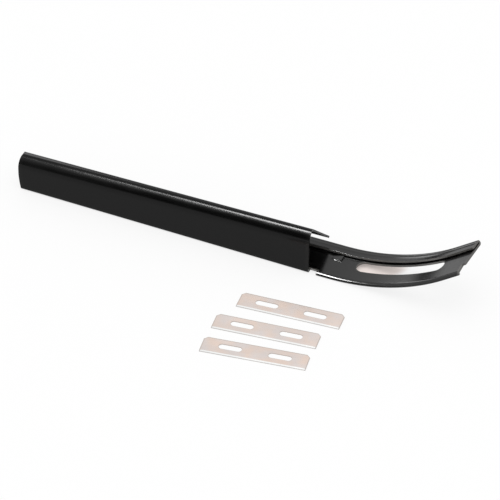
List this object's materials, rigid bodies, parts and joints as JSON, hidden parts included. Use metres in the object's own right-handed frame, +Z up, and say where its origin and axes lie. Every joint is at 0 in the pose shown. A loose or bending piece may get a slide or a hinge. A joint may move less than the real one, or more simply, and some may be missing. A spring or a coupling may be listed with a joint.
{
  "type": "leather edge beveler",
  "caption": "Leather edge beveler with a folded sheet-steel handle, a curved slotted blade holder with a folded blade rail, and loose single-edged blades lying beside it.",
  "frame": {"origin": "middle of the flat underside of the handle, which lies on the table", "axes": "+X from the butt of the handle to the tip of the blade holder, +Z up off the table, the loose blades on the -Y side"},
  "size_m": [0.1775, 0.0718, 0.0225],
  "materials": {
    "handle_lacquer": "gloss black lacquer on sheet steel",
    "holder_lacquer": "gloss black lacquer on sheet steel",
    "blade_steel": "rolled strip steel with a ground edge"
  },
  "bodies": {
    "tool": {"handle_shell": "handle_lacquer", "blade_holder": "holder_lacquer"},
    "blade_rear": {"blade_rear": "blade_steel"},
    "blade_middle": {"blade_middle": "blade_steel"},
    "blade_front": {"blade_front": "blade_steel"}
  },
  "joints": [
    {"name": "blade_rear_lift", "type": "slide", "parent": "tool", "child": "blade_rear", "axis": [0, 0, 1], "range_m": [0, 0.04]},
    {"name": "blade_middle_lift", "type": "slide", "parent": "tool", "child": "blade_middle", "axis": [0, 0, 1], "range_m": [0, 0.04]},
    {"name": "blade_front_lift", "type": "slide", "parent": "tool", "child": "blade_front", "axis": [0, 0, 1], "range_m": [0, 0.04]}
  ]
}
